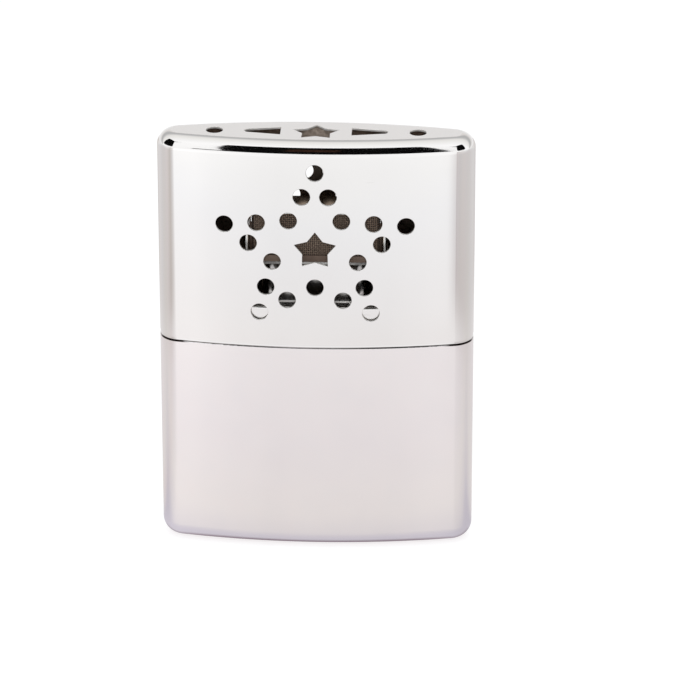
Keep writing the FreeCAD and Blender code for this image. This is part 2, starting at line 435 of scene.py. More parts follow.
def top_punches():
    """A star in the middle of the roof, then a wedge and a round hole to each side."""
    level = top - top_round
    tip = top_star_width / 2 / math.cos(math.pi / 2 / star_points)
    squash = top_star_depth / (tip * (1 + math.cos(math.pi / star_points)))
    outline = star_corners(tip, tip * notch_ratio, squash)
    middle = (outline[0][1] + min(up for x, up in outline)) / 2
    tools = [prism("roof_star_punch", [(x, up - middle, level) for x, up in outline], (0, 0, reach))]
    for side in (-1, 1):
        tools.append(wedge_punch(side, level))
        place = (side * top_hole_x, 0, level + reach / 2)
        tools.append(punch("roof_punch", top_hole_diameter / 2, place))
    return tools


def divide_cap(piece):
    """Lines up the wall and across the roof, so that no face holds a whole hole."""
    for line in wall_lines:
        divide(piece, lambda point: seam + 2 * flare_height - TINY < point.z < top - top_round + TINY,
               (0, 0, star_middle + line * MM), (0, 0, 1))
    for line in roof_lines:
        for side in (-1, 1):
            divide(piece, at_height(top), (side * line * MM, 0, top), (1, 0, 0))
    divide(piece, at_height(top), (0, 0, top), (0, 1, 0))


def make_cap(outside, inside, sheared):
    """Drawn from one sheet: outline raised, crown rounded, walled, punched and deburred."""
    piece = lens_outline("pressed_cap", 0, seam)
    draw_out((0, 0, flare_height))
    draw_in(rim_flare)
    draw_out((0, 0, flare_height))
    draw_in(-rim_flare)
    draw_out((0, 0, top - seam - 2 * flare_height))
    round_level(piece, top, top_round, steps=10)
    divide_cap(piece)
    open_shell(piece, seam, cap_wall, outside, inside, material_offset=1)
    form = copy_of(piece, "undrilled_cap")
    cut(piece, face_punches(), sheared)
    cut(piece, top_punches(), sheared)
    merge_slivers(piece, 4 * TINY)
    round_level(piece, seam, cap_rim, steps=4)
    round_sharp(50, punch_round, steps=3)
    smooth(piece)
    shade_like(piece, form)
    dress(piece, "cap", "cap_shell")


# ---- Tank and collar --------------------------------------------------------

def make_tank(finish):
    piece = lens_outline("pressed_tank", 0, 0)
    draw_out((0, 0, seam))
    round_level(piece, 0, base_round, steps=12)
    open_shell(piece, seam, tank_wall, finish)
    edit(True)
    round_level(piece, seam, tank_rim, steps=5)
    smooth(piece)
    dress(piece, "tank", "tank_shell")


def make_collar(finish):
    """The cap slides over this collar, whose deck carries the filler neck."""
    low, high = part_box("collar_deck")
    piece = lens_outline("pressed_collar", half_width - high.x, low.z)
    draw_out((0, 0, high.z - low.z))
    round_level(piece, high.z, deck_round, steps=4)
    open_shell(piece, low.z, collar_wall, finish)
    cut(piece, [slot_punch("mouth_punch", mouth_width, mouth_depth, high.z - reach / 2)], finish)
    smooth(piece)
    dress(piece, "tank", "collar_deck")


# ---- Small pressed pieces ---------------------------------------------------

def deburr(node, name, body, finish, radius=0.05 * MM):
    """A copy of a node with its sharp edges eased, as a pressing's are."""
    piece = copy_of_node(node, name)
    bpy.ops.mesh.dissolve_limited(angle_limit=math.radians(1))
    round_sharp(40, radius, steps=2)
    smooth(piece)
    piece.data.materials.append(finish)
    dress(piece, body, node)


# ---- Burner gauze -----------------------------------------------------------

def weave_wire(name, start, along, crossings, side):
    """One wire of the weave, which passes over and under the wires that it crosses."""
    rotation = (0, 0, 0) if along.z else (0, math.pi / 2, 0)
    height = side * wire_radius
    wire = add_new(name, bpy.ops.mesh.primitive_circle_add, vertices=wire_sides, radius=wire_radius,
                   location=start + Vector((0, height, 0)), rotation=rotation)
    fix_place()
    edit(True)
    bpy.ops.mesh.select_all(action="SELECT")
    for step in range(1, crossings * steps_per_crossing + 1):
        following = side * wire_radius * math.cos(math.pi * step / steps_per_crossing)
        draw_out(along * (gauze_pitch / steps_per_crossing) + Vector((0, following - height, 0)))
        height = following
    edit(False)
    return wire


def hem(name, place, size):
    """A strip of the gauze folded over and pressed flat."""
    strip = add_new(name, bpy.ops.mesh.primitive_cube_add, size=1, location=place)
    strip.scale = size
    fix_place()
    return strip


def make_gauze(node, name, finish):
    """A panel of plain weave, trimmed to the round top corners of the strap that holds it."""
    low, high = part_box(node)
    middle = (low.y + high.y) / 2
    columns = int((high.x - low.x - 2 * wire_radius) / gauze_pitch) + 1
    rows = int((high.z - low.z - 2 * wire_radius) / gauze_pitch) + 1
    left = -(columns - 1) * gauze_pitch / 2
    foot = low.z + wire_radius
    wires = []
    for parity in (0, 1):
        side = 1 - 2 * parity
        upright = weave_wire("upright_wire", Vector((left + parity * gauze_pitch, middle, foot)),
                             Vector((0, 0, 1)), rows - 1, side)
        repeat(upright, (columns + 1 - parity) // 2, (2 * gauze_pitch, 0, 0))
        level = weave_wire("level_wire", Vector((left, middle, foot + parity * gauze_pitch)),
                           Vector((1, 0, 0)), columns - 1, -side)
        repeat(level, (rows + 1 - parity) // 2, (0, 0, 2 * gauze_pitch))
        wires += [upright, level]
    corner_x, corner_z = high.x - strap_corner, high.z - strap_corner
    hems = [hem("side_hem", (side * (high.x - hem_width / 2), middle, (low.z + corner_z) / 2),
                (hem_width, hem_depth, corner_z - low.z)) for side in (-1, 1)]
    hems.append(hem("top_hem", (0, middle, high.z - hem_width / 2), (2 * corner_x, hem_depth, hem_width)))
    piece = join(wires, name)
    edit(True)
    pick(piece, "VERT", lambda point: abs(point.x) > corner_x and point.z > corner_z
         and math.hypot(abs(point.x) - corner_x, point.z - corner_z) > strap_corner)
    bpy.ops.mesh.delete(type="VERT")
    bpy.ops.mesh.select_all(action="SELECT")
    bpy.ops.mesh.fill_holes(sides=wire_sides)
    face_outwards()
    edit(False)
    piece = join([piece] + hems, name)
    bpy.ops.object.shade_smooth_by_angle(angle=math.radians(65))
    piece.data.materials.append(finish)
    dress(piece, "burner", node)


# ---- Soft pieces ------------------------------------------------------------

def lumps(name, size):
    texture = bpy.data.textures.new(name, "CLOUDS")
    texture.noise_scale = size
    texture.noise_depth = 3
    return texture


def make_pad(node, name, body, finish, voxel, lump_size, lump_height, nap_height):
    """A fibrous pad in the space of its plain solid: rounded by a coarse remesh, then lumpy."""
    piece = copy_of_node(node, name)
    edit(False)
    use(piece, "REMESH", mode="VOXEL", voxel_size=voxel)
    use(piece, "SMOOTH", factor=0.5, iterations=6)
    use(piece, "DISPLACE", texture=lumps(name + "_lumps", lump_size), texture_coords="LOCAL",
        mid_level=1.0, strength=lump_height)
    use(piece, "DISPLACE", texture=lumps(name + "_nap", 2.5 * voxel), texture_coords="LOCAL",
        mid_level=0.6, strength=nap_height)
    bpy.ops.object.shade_smooth()
    piece.data.materials.append(finish)
    dress(piece, body, node)


# ---- Shader nodes -----------------------------------------------------------

def feed(tree, socket, value):
    """An input takes another node's output, or a plain number, place or colour."""
    if isinstance(value, bpy.types.NodeSocket):
        tree.links.new(value, socket)
    elif socket.type == "RGBA":
        socket.default_value = (*value, 1)
    else:
        socket.default_value = value


def calculate(tree, operation, *values):
    """The result of a sum on numbers."""
    node = tree.nodes.new("ShaderNodeMath")
    node.operation = operation
    for socket, value in zip(node.inputs, values):
        feed(tree, socket, value)
    return node.outputs["Value"]


def measure(tree, operation, *values):
    """The result of a sum on places, directions or tones."""
    node = tree.nodes.new("ShaderNodeVectorMath")
    node.operation = operation
    for socket, value in zip(node.inputs, values):
        feed(tree, socket, value)
    return node.outputs["Value" if operation in ("LENGTH", "DISTANCE", "DOT_PRODUCT") else "Vector"]


def part_of(tree, place, axis):
    """One of a place's three numbers."""
    node = tree.nodes.new("ShaderNodeSeparateXYZ")
    feed(tree, node.inputs["Vector"], place)
    return node.outputs[axis]


def spread(tree, value, low, high, first=0, last=1, smooth=False):
    """Runs from the first number to the last while the value runs from low to high."""
    node = tree.nodes.new("ShaderNodeMapRange")
    if smooth:
        node.interpolation_type = "SMOOTHSTEP"
    sockets = (node.inputs[name] for name in ("Value", "From Min", "From Max", "To Min", "To Max"))
    for socket, given in zip(sockets, (value, low, high, first, last)):
        feed(tree, socket, given)
    return node.outputs["Result"]


def mix(tree, kind, share, first, second):
    """Runs from the first number (FLOAT) or colour (RGBA) to the second with the share."""
    node = tree.nodes.new("ShaderNodeMix")
    node.data_type = kind
    start, result = {"FLOAT": (2, 0), "RGBA": (6, 2)}[kind]
    for index, value in ((0, share), (start, first), (start + 1, second)):
        feed(tree, node.inputs[index], value)
    return node.outputs[result]


def noise(tree, place, scale, detail=2, distortion=0, kind="FBM"):
    node = tree.nodes.new("ShaderNodeTexNoise")
    node.noise_type = kind
    names = ("Vector", "Scale", "Detail", "Distortion")
    for name, value in zip(names, (place, scale, detail, distortion)):
        feed(tree, node.inputs[name], value)
    return node.outputs["Fac"]


# ---- Effects shared by the finishes -----------------------------------------

def effect_group(name, vectors, numbers, output="Mask"):
    """A node group with named inputs and one output; returns it with the sockets inside it."""
    group = bpy.data.node_groups.new(name, "ShaderNodeTree")
    for socket in vectors:
        group.interface.new_socket(socket, in_out="INPUT", socket_type="NodeSocketVector")
    for socket in numbers:
        group.interface.new_socket(socket, in_out="INPUT", socket_type="NodeSocketFloat")
    group.interface.new_socket(output, in_out="OUTPUT", socket_type="NodeSocketFloat")
    given = group.nodes.new("NodeGroupInput").outputs
    result = group.nodes.new("NodeGroupOutput").inputs[output]
    return group, given, result


def cloud_effect():
    """Soft patches, from 0 to 1."""
    group, given, result = effect_group("soft_patches", ["Place"], ["Scale"])
    clouds = noise(group, given["Place"], given["Scale"], detail=4)
    feed(group, result, spread(group, clouds, 0.25, 0.75))
    return group


def spot_effect():
    """One soft round spot: 1 in its middle and 0 outside its radius."""
    group, given, result = effect_group("soft_spot", ["Place", "Middle"], ["Radius"])
    away = measure(group, "DISTANCE", given["Place"], given["Middle"])
    feed(group, result, spread(group, away, given["Radius"], 0, smooth=True))
    return group


def scuff_effect():
    """Fine level scuffs that come in patches, from 0 to 1."""
    group, given, result = effect_group("level_scuffs", ["Place"], ["Amount"])
    drawn_out = measure(group, "MULTIPLY", given["Place"], (160, 160, 3200))
    streaks = noise(group, drawn_out, 1, detail=3)
    patches = noise(group, given["Place"], 90)
    kept = spread(group, calculate(group, "MULTIPLY", streaks, patches), 0.34, 0.42)
    feed(group, result, calculate(group, "MULTIPLY", kept, given["Amount"]))
    return group


def grain_effect():
    """Surface height: long waves of the drawn sheet under a fine grain."""
    group, given, result = effect_group("sheet_grain", ["Place"], ["Wave", "Grain", "Share"], "Height")
    waves = noise(group, given["Place"], given["Wave"], detail=1)
    grains = noise(group, given["Place"], given["Grain"])
    feed(group, result, mix(group, "FLOAT", given["Share"], waves, grains))
    return group


def height_effect():
    """How far up the burner a place is, from 0 to 1, with a ragged limit."""
    group, given, result = effect_group("heat_height", ["Place"], ["Low", "High", "Ragged"])
    clouds = noise(group, given["Place"], 350)
    height = part_of(group, given["Place"], "Z")
    ragged = calculate(group, "MULTIPLY_ADD", clouds, given["Ragged"], height)
    feed(group, result, spread(group, ragged, given["Low"], given["High"], smooth=True))
    return group


def fibre_effect():
    """Tangled fibres: the ridges of a warped noise, from 0 to 1."""
    group, given, result = effect_group("fibres", ["Place"], ["Scale"])
    ridges = noise(group, given["Place"], given["Scale"], detail=5, distortion=1.2,
                   kind="RIDGED_MULTIFRACTAL")
    feed(group, result, spread(group, ridges, 0.2, 1.1))
    return group


def band_effect():
    """1 where a place lies between two limits along an axis, with soft ends."""
    group, given, result = effect_group("band", ["Place", "Axis"], ["Low", "High", "Soft"])
    along = measure(group, "DOT_PRODUCT", given["Place"], given["Axis"])
    before = calculate(group, "SUBTRACT", given["Low"], given["Soft"])
    after = calculate(group, "ADD", given["High"], given["Soft"])
    begins = spread(group, along, before, given["Low"])
    ends = spread(group, along, given["High"], after, 1, 0)
    feed(group, result, calculate(group, "MULTIPLY", begins, ends))
    return group


soft_patches = cloud_effect()
soft_spot = spot_effect()
level_scuffs = scuff_effect()
sheet_grain = grain_effect()
heat_height = height_effect()
fibres = fibre_effect()
band = band_effect()


# ---- Finishes ---------------------------------------------------------------

class Finish:
    """A Principled material that reads Object coordinates."""

    def __init__(self, name, colour, roughness, metallic):
        self.material = bpy.data.materials.new(name)
        self.material.use_nodes = True
        self.tree = self.material.node_tree
        self.shader = self.tree.nodes["Principled BSDF"]
        self.place = self.tree.nodes.new("ShaderNodeTexCoord").outputs["Object"]
        self.feed("Base Color", colour)
        self.feed("Roughness", roughness)
        self.feed("Metallic", metallic)

    def feed(self, socket, value):
        feed(self.tree, self.shader.inputs[socket], value)

    def effect(self, group, **values):
        """Places an effect group and returns its one output."""
        node = self.tree.nodes.new("ShaderNodeGroup")
        node.node_tree = group
        for name, value in {"Place": self.place, **values}.items():
            feed(self.tree, node.inputs[name], value)
        return node.outputs[0]

    def patches(self, scale):
        return self.effect(soft_patches, Scale=scale)

    def between(self, axis, low, high, soft):
        """1 between two limits along an axis, with ends this soft."""
        return self.effect(band, Axis=axis, Low=low, High=high, Soft=soft)

    def mix_colour(self, mask, first, second):
        return mix(self.tree, "RGBA", mask, first, second)

    def range(self, mask, low, high):
        return spread(self.tree, mask, 0, 1, low, high)

    def plus(self, first, second):
        return calculate(self.tree, "ADD", first, second)

    def times(self, first, second):
        return calculate(self.tree, "MULTIPLY", first, second)

    def larger(self, first, second):
        return calculate(self.tree, "MAXIMUM", first, second)

    def bump(self, height, depth, strength):
        node = self.tree.nodes.new("ShaderNodeBump")
        for name, value in (("Height", height), ("Distance", depth), ("Strength", strength)):
            feed(self.tree, node.inputs[name], value)
        self.feed("Normal", node.outputs["Normal"])

    def ripple(self, wave, grain, share, depth, strength):
        """Bumps of the sheet: long waves, and this share of a fine grain."""
        self.bump(self.effect(sheet_grain, Wave=wave, Grain=grain, Share=share), depth, strength)


upwards = (0, 0, 1)
# colour of the painted shade in the gap at the seam
seam_painted_shade = (0.03, 0.022, 0.02)
corner_painted_shade_reach = 0.2 * MM                # the painted seam shade reaches this much further round the corners
rubbed_nickel = (0.78, 0.76, 0.75)    # the cap's flat top is rubbed to a satin
# colour of the painted highlights along the burner's edges
painted_edge_highlight = (0.93, 0.91, 0.89)


def seam_shade(finish, low, high):
    """Where painted shade darkens a rim at the seam: most at both ends, least in the middle of the face.
    """
    rim = finish.between(upwards, low, high, 0.03 * MM)
    middle = finish.effect(soft_spot, Middle=(-2 * MM, -half_depth, seam), Radius=17 * MM)
    patches = finish.patches(75)
    strength = finish.times(finish.range(middle, 1.0, 0.35), finish.range(patches, 1.0, 0.5))
    deep = finish.between(upwards, low - corner_painted_shade_reach, high, 0.05 * MM)
    corners = [finish.effect(soft_spot, Middle=(x, -4.3 * MM, seam), Radius=4.8 * MM)
               for x in (-31.4 * MM, 31.6 * MM)]
    corner = finish.times(deep, finish.larger(*corners))
    return finish.larger(finish.times(rim, strength), finish.range(corner, 0, 2.5))


def bright_nickel():
    """Polished plate of the cap, with soft patches and a scuffed spot near the top."""
    finish = Finish("bright_nickel", (0.92, 0.91, 0.90), 0.1, 1)
    patches = finish.patches(55)
    spot = finish.effect(soft_spot, Middle=(11 * MM, -half_depth, 89 * MM), Radius=11 * MM)
    scuffs = finish.times(finish.effect(level_scuffs, Amount=0.6), spot)
    clean = finish.mix_colour(patches, (0.93, 0.92, 0.915), (0.905, 0.893, 0.886))
    plate = finish.mix_colour(scuffs, clean, (0.74, 0.72, 0.71))
    rubbed = finish.between(upwards, top - 0.006 * MM, top + MM, 0.004 * MM)
    # painted shade in the gap at the seam darkens the cap's rim
    shade = seam_shade(finish, seam - MM, seam + 0.10 * MM)
    plate = finish.mix_colour(shade, plate, seam_painted_shade)
    finish.feed("Base Color", finish.mix_colour(rubbed, plate, rubbed_nickel))
    finish.feed("Metallic", finish.range(rubbed, 1, 0.1))
    gloss = finish.range(patches, 0.045, 0.065)
    finish.feed("Roughness", finish.plus(gloss, finish.range(rubbed, 0, 0.25)))
    finish.ripple(wave=45, grain=900, share=0.01, depth=0.1 * MM, strength=0.2)
    return finish.material


def satin_nickel():
    """Plate of the tank, duller than the cap's, with a cloudy grain and a faint blush."""
    finish = Finish("satin_nickel", (0.92, 0.90, 0.895), 0.15, 1)
    patches = finish.patches(90)
    blush = finish.patches(260)
    grey_patches = finish.mix_colour(patches, (0.95, 0.918, 0.922), (0.915, 0.885, 0.897))
    plate = finish.mix_colour(finish.range(blush, 0, 0.5), grey_patches, (0.95, 0.903, 0.908))
    # painted shade in the gap at the seam darkens the tank's rim
    shade = seam_shade(finish, seam - 0.12 * MM, seam + MM)
    finish.feed("Base Color", finish.mix_colour(shade, plate, seam_painted_shade))
    finish.feed("Roughness", finish.range(patches, 0.14, 0.17))
    finish.ripple(wave=60, grain=1400, share=0.06, depth=0.1 * MM, strength=0.15)
    return finish.material


def sheared_edge():
    """Bare metal where the sheet was punched through."""
    finish = Finish("sheared_edge", (0.86, 0.84, 0.82), 0.45, 0.6)
    patches = finish.patches(900)
    finish.feed("Base Color", finish.mix_colour(patches, (0.92, 0.90, 0.88), (0.74, 0.71, 0.68)))
    return finish.material


def browned_inside():
    """Inside of the cap: browned plate, a paler deposit under the roof where fumes leave, painted light on
    it.
    """
    finish = Finish("browned_inside", (0.30, 0.25, 0.21), 0.42, 1)
    patches = finish.patches(160)
    grains = finish.patches(1500)
    deposit = finish.effect(heat_height, Low=84 * MM, High=88 * MM, Ragged=1.5 * MM)
    # a painted pool of light on the rear wall below the roof's star, as from the light that comes in
    # through it
    spot = finish.effect(soft_spot, Middle=(0, half_depth - cap_wall, 91.5 * MM), Radius=9 * MM)
    plate = finish.mix_colour(patches, (0.30, 0.25, 0.21), (0.18, 0.145, 0.12))
    brown = finish.mix_colour(grains, (0.24, 0.165, 0.125), (0.11, 0.075, 0.055))
    painted_light_deposit = finish.mix_colour(grains, (0.86, 0.72, 0.62), (0.4, 0.3, 0.24))
    finish.feed("Base Color", finish.mix_colour(deposit, plate, finish.mix_colour(spot, brown, painted_light_deposit)))
    finish.feed("Metallic", finish.range(deposit, 1, 0.1))
    finish.feed("Roughness", finish.range(deposit, 0.42, 0.75))
    finish.ripple(wave=200, grain=2500, share=0.4, depth=0.05 * MM, strength=0.4)
    return finish.material


def collar_nickel():
    """Bright plate of the collar and the neck, scuffed by the cap that slides over it."""
    finish = Finish("collar_nickel", (0.88, 0.865, 0.85), 0.16, 1)
    patches = finish.patches(110)
    scuffs = finish.effect(level_scuffs, Amount=0.6)
    clean = finish.mix_colour(patches, (0.96, 0.95, 0.945), (0.90, 0.885, 0.875))
    finish.feed("Base Color", finish.mix_colour(scuffs, clean, (0.62, 0.60, 0.58)))
    finish.feed("Roughness", finish.range(patches, 0.12, 0.2))
    finish.ripple(wave=90, grain=1200, share=0.05, depth=0.1 * MM, strength=0.3)
    return finish.material


def tinted_strap():
    """Burner metal: bright at its foot, brown where hot and on its side lips, with a painted edge
    highlight.
    """
    finish = Finish("tinted_strap", (0.8, 0.76, 0.72), 0.2, 1)
    low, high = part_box("burner_frame")
    heat = finish.effect(heat_height, Low=low.z + 4 * MM, High=high.z + 1 * MM, Ragged=3 * MM)
    patches = finish.patches(240)
    warm = finish.mix_colour(patches, (0.44, 0.34, 0.25), (0.32, 0.24, 0.18))
    # a painted highlight along the strap's front edge, left off its side lips
    edge = finish.between((0, 1, 0), low.y - MM, low.y + 0.12 * MM, 0.05 * MM)
    lips = [finish.between((side, 0, 0), high.x - 1.5 * MM, high.x - 0.45 * MM, 0.05 * MM)
            for side in (-1, 1)]
    lip = finish.larger(*lips)
    bright = finish.times(edge, finish.range(lip, 1, 0))
    plate = finish.mix_colour(finish.larger(heat, lip), (0.84, 0.82, 0.79), warm)
    finish.feed("Base Color", finish.mix_colour(bright, plate, painted_edge_highlight))
    finish.feed("Metallic", finish.range(bright, 1, 0.4))
    finish.feed("Roughness", finish.range(patches, 0.16, 0.3))
    finish.ripple(wave=260, grain=2600, share=0.2, depth=0.05 * MM, strength=0.3)
    return finish.material


def tinted_tray():
    """The burner's sleeve and tray: a browned tray wall, with painted highlights under it and at the foot.
    """
    finish = Finish("tinted_tray", (0.8, 0.77, 0.74), 0.2, 1)
    low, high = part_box("burner_seat")
    tray_foot = high.z - tray_height
    wall = finish.between(upwards, tray_foot + 0.65 * MM, high.z + MM, 0.1 * MM)
    # painted highlights: a line under the tray, strongest in the middle, and a line at the sleeve's foot
    under = finish.between(upwards, tray_foot - 0.1 * MM, tray_foot + 0.5 * MM, 0.1 * MM)
    foot = finish.between(upwards, low.z - MM, low.z + 0.2 * MM, 0.05 * MM)
    middle = finish.between((1, 0, 0), -6 * MM, 6 * MM, 3 * MM)
    edges = finish.larger(finish.times(under, finish.range(middle, 0.45, 1)), foot)
    patches = finish.patches(240)
    metal = finish.mix_colour(patches, (0.60, 0.59, 0.58), (0.46, 0.45, 0.44))
    brown = finish.mix_colour(patches, (0.27, 0.195, 0.155), (0.17, 0.12, 0.095))
    finish.feed("Base Color", finish.mix_colour(edges, finish.mix_colour(wall, metal, brown), painted_edge_highlight))
    finish.feed("Metallic", finish.range(finish.larger(edges, wall), 1, 0.15))
    finish.feed("Roughness", finish.range(wall, 0.2, 0.5))
    finish.ripple(wave=260, grain=2600, share=0.2, depth=0.05 * MM, strength=0.3)
    return finish.material


def pierced_steel():
    """Plain grey sheet of the two pierced plates."""
    finish = Finish("pierced_steel", (0.55, 0.52, 0.49), 0.35, 1)
    patches = finish.patches(300)
    finish.feed("Base Color", finish.mix_colour(patches, (0.6, 0.57, 0.54), (0.44, 0.4, 0.36)))
    finish.feed("Roughness", finish.range(patches, 0.3, 0.45))
    finish.ripple(wave=300, grain=3000, share=0.5, depth=0.05 * MM, strength=0.4)
    return finish.material


def browned_wire():
    """Steel wire, browned by the burner's heat in soft patches, with painted shade on the side hems."""
    finish = Finish("browned_wire", (0.30, 0.22, 0.17), 0.4, 0.35)
    patches = finish.patches(220)
    fine = finish.patches(2600)
    edge_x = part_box("front_gauze")[1].x
    # painted shade along the side hems
    sides = [finish.between((side, 0, 0), edge_x - 1.5 * hem_width, edge_x + MM, hem_width)
             for side in (-1, 1)]
    brown = finish.mix_colour(patches, (0.40, 0.28, 0.21), (0.22, 0.15, 0.11))
    brown = finish.mix_colour(fine, brown, (0.50, 0.38, 0.30))
    finish.feed("Base Color", finish.mix_colour(finish.larger(*sides), brown, (0.09, 0.06, 0.045)))
    finish.feed("Roughness", finish.range(fine, 0.35, 0.55))
    finish.ripple(wave=900, grain=6000, share=0.5, depth=0.01 * MM, strength=0.3)
    return finish.material


def fibre_finish(name, light, shade, scale, depth):
    """Loose fibres, light on their ridges and darker between them."""
    finish = Finish(name, light, 0.9, 0)
    strands = finish.effect(fibres, Scale=scale)
    patches = finish.patches(scale / 6)
    tone = finish.mix_colour(strands, shade, light)
    finish.feed("Base Color", finish.mix_colour(finish.range(patches, 0, 0.35), tone, shade))
    finish.feed("Roughness", finish.range(strands, 0.95, 0.75))
    finish.feed("Sheen Weight", 0.3)
    finish.bump(strands, depth, 0.8)
    return finish.material


# ---- Build ------------------------------------------------------------------

make_cap(bright_nickel(), browned_inside(), sheared_edge())
make_tank(satin_nickel())
collar_finish = collar_nickel()
make_collar(collar_finish)
steel = pierced_steel()
strap_finish = tinted_strap()
deburr("filler_neck", "filler_tube", "tank", collar_finish)
deburr("neck_screen", "strainer_plate", "tank", steel)
deburr("burner_seat", "burner_tray", "burner", tinted_tray())
deburr("burner_floor", "burner_plate", "burner", steel)
deburr("burner_frame", "burner_strap", "burner", strap_finish, 0.08 * MM)
wire_finish = browned_wire()
make_gauze("front_gauze", "front_wire_gauze", wire_finish)
make_gauze("rear_gauze", "rear_wire_gauze", wire_finish)
make_pad("catalyst_mat", "catalyst_wool", "burner",
         fibre_finish("catalyst_wool", (0.22, 0.18, 0.155), (0.09, 0.07, 0.06), scale=900, depth=0.3 * MM),
         voxel=0.3 * MM, lump_size=2.5 * MM, lump_height=0.4 * MM, nap_height=0.25 * MM)
make_pad("wick_felt", "wick_pad", "tank",
         fibre_finish("wick_felt", (0.82, 0.79, 0.73), (0.56, 0.52, 0.46), scale=1200, depth=0.2 * MM),
         voxel=0.25 * MM, lump_size=2.0 * MM, lump_height=0.2 * MM, nap_height=0.15 * MM)
make_pad("wadding", "cotton_wad", "tank",
         fibre_finish("cotton_wad", (0.9, 0.89, 0.86), (0.7, 0.68, 0.64), scale=500, depth=0.5 * MM),
         voxel=0.7 * MM, lump_size=7.0 * MM, lump_height=1.2 * MM, nap_height=0.6 * MM)


# ---- Stage ------------------------------------------------------------------

def light_paths(tree):
    """1 for the rays that see the backdrop (camera, glossy, transmission), and 1 for glossy ones."""
    paths = tree.nodes.new("ShaderNodeLightPath").outputs
    glossy = paths["Is Glossy Ray"]
    seen = calculate(tree, "MAXIMUM", paths["Is Camera Ray"], glossy)
    return calculate(tree, "MAXIMUM", seen, paths["Is Transmission Ray"]), glossy


def tone_ramp(tree, value, stops):
    """Colours along a value: each stop is a value and its colour."""
    first, last = stops[0][0], stops[-1][0]
    ramp = tree.nodes.new("ShaderNodeValToRGB")
    elements = ramp.color_ramp.elements
    elements[0].color = (*stops[0][1], 1)
    elements[1].color = (*stops[-1][1], 1)
    for place, colour in stops[1:-1]:
        elements.new((place - first) / (last - first)).color = (*colour, 1)
    feed(tree, ramp.inputs["Fac"], spread(tree, value, first, last))
    return ramp.outputs["Color"]


def grey(tone):
    return tone, tone, tone


# The floor as the metal mirrors it, with a painted shadow of the body, by the distance in metres from the
# middle of the body
painted_floor_shadow_by_distance = (
    (0, (0.60, 0.58, 0.64)), (0.0073, (0.60, 0.58, 0.64)), (0.012, (0.725, 0.70, 0.71)),
    (0.024, (0.80, 0.772, 0.755)), (0.064, (0.82, 0.792, 0.795)), (0.109, (0.862, 0.84, 0.838)),
    (0.188, (0.895, 0.897, 0.91)), (0.22, grey(0.94)), (0.3, grey(1)))
# ... with a darker painted contact shadow where the body touches it
painted_contact_shadow_by_distance = ((0, (0.47, 0.41, 0.42)), (0.0063, (0.47, 0.41, 0.42)), (0.0073, grey(1)))
# ... and painted lighter and darker strips by the heading away from the body, from -1 at the left to 1 at
# the right, near and far
near_by_heading = (
    (-1, grey(0.94)), (-0.85, grey(0.94)), (-0.70, (0.95, 0.925, 0.92)), (-0.58, grey(1)),
    (-0.46, grey(1.13)), (-0.40, grey(1.13)), (-0.30, grey(1.07)), (-0.15, grey(1.01)), (0.20, grey(1)),
    (0.33, grey(1.04)), (0.38, grey(1.04)), (0.43, grey(0.97)), (0.6, grey(0.95)), (1, grey(0.92)))
far_by_heading = (
    (-1, grey(0.84)), (-0.85, (0.83, 0.80, 0.79)), (-0.70, (0.66, 0.62, 0.59)),
    (-0.58, (0.80, 0.78, 0.77)), (-0.46, grey(1.12)), (-0.40, grey(1.12)), (-0.33, grey(1.06)),
    (-0.15, grey(1)), (0, grey(1)), (0.20, grey(1.01)), (0.33, grey(1.05)), (0.37, grey(1.05)),
    (0.40, (0.60, 0.55, 0.55)), (0.44, (0.70, 0.66, 0.66)), (0.6, (0.70, 0.67, 0.66)),
    (0.8, (0.76, 0.735, 0.725)), (1, grey(0.82)))
floor_squeeze = (0.15, 1, 1)    # distances count this share along X, as the body is wide
contact_squeeze = (0.2, 1, 1)
floor_centre = 0.065            # the headings start this far behind the origin
near_reach = 0.115              # up to here the near tones count, and beyond far_reach the far ones
far_reach = 0.175
paper_white = (0.80, 0.92, 0.92)
floor_glow = (1.37, 1.29, 1.295)
glow_share = 0.53               # the camera sees this share of glow over the paper


def make_floor():
    """A white floor that keeps a soft shadow; the metal mirrors it greyer, with painted shadow and strips.
    """
    floor = add_new("floor", bpy.ops.mesh.primitive_plane_add, size=12)
    material = bpy.data.materials.new("white_floor")
    material.use_nodes = True
    tree = material.node_tree
    tree.nodes.clear()
    place = tree.nodes.new("ShaderNodeTexCoord").outputs["Object"]
    distance = measure(tree, "LENGTH", measure(tree, "MULTIPLY", place, floor_squeeze))
    contact = measure(tree, "LENGTH", measure(tree, "MULTIPLY", place, contact_squeeze))
    by_distance = measure(tree, "MULTIPLY", tone_ramp(tree, distance, painted_floor_shadow_by_distance),
                          tone_ramp(tree, contact, painted_contact_shadow_by_distance))
    direction = measure(tree, "NORMALIZE", measure(tree, "SUBTRACT", place, (0, floor_centre, 0)))
    heading = part_of(tree, direction, "X")
    far = spread(tree, measure(tree, "LENGTH", place), near_reach, far_reach, smooth=True)
    by_heading = mix(tree, "RGBA", far, tone_ramp(tree, heading, near_by_heading),
                     tone_ramp(tree, heading, far_by_heading))
    seen, glossy = light_paths(tree)
    paper = tree.nodes.new("ShaderNodeBsdfDiffuse")
    feed(tree, paper.inputs["Color"], paper_white)
    glow = tree.nodes.new("ShaderNodeEmission")
    # the floor as reflections see it, with its painted shadow and painted strips
    painted_mirror_shade = measure(tree, "MULTIPLY", by_distance, by_heading)
    feed(tree, glow.inputs["Color"], mix(tree, "RGBA", glossy, floor_glow, painted_mirror_shade))
    share = calculate(tree, "MAXIMUM", calculate(tree, "MULTIPLY", seen, glow_share), glossy)
    blend = tree.nodes.new("ShaderNodeMixShader")
    for socket, value in zip(blend.inputs, (share, paper.outputs["BSDF"], glow.outputs["Emission"])):
        feed(tree, socket, value)
    output = tree.nodes.new("ShaderNodeOutputMaterial")
    feed(tree, output.inputs["Surface"], blend.outputs["Shader"])
    floor.data.materials.append(material)


card_distance = 1.3
card_eye = 0.09             # the cards' elevations are seen from this height


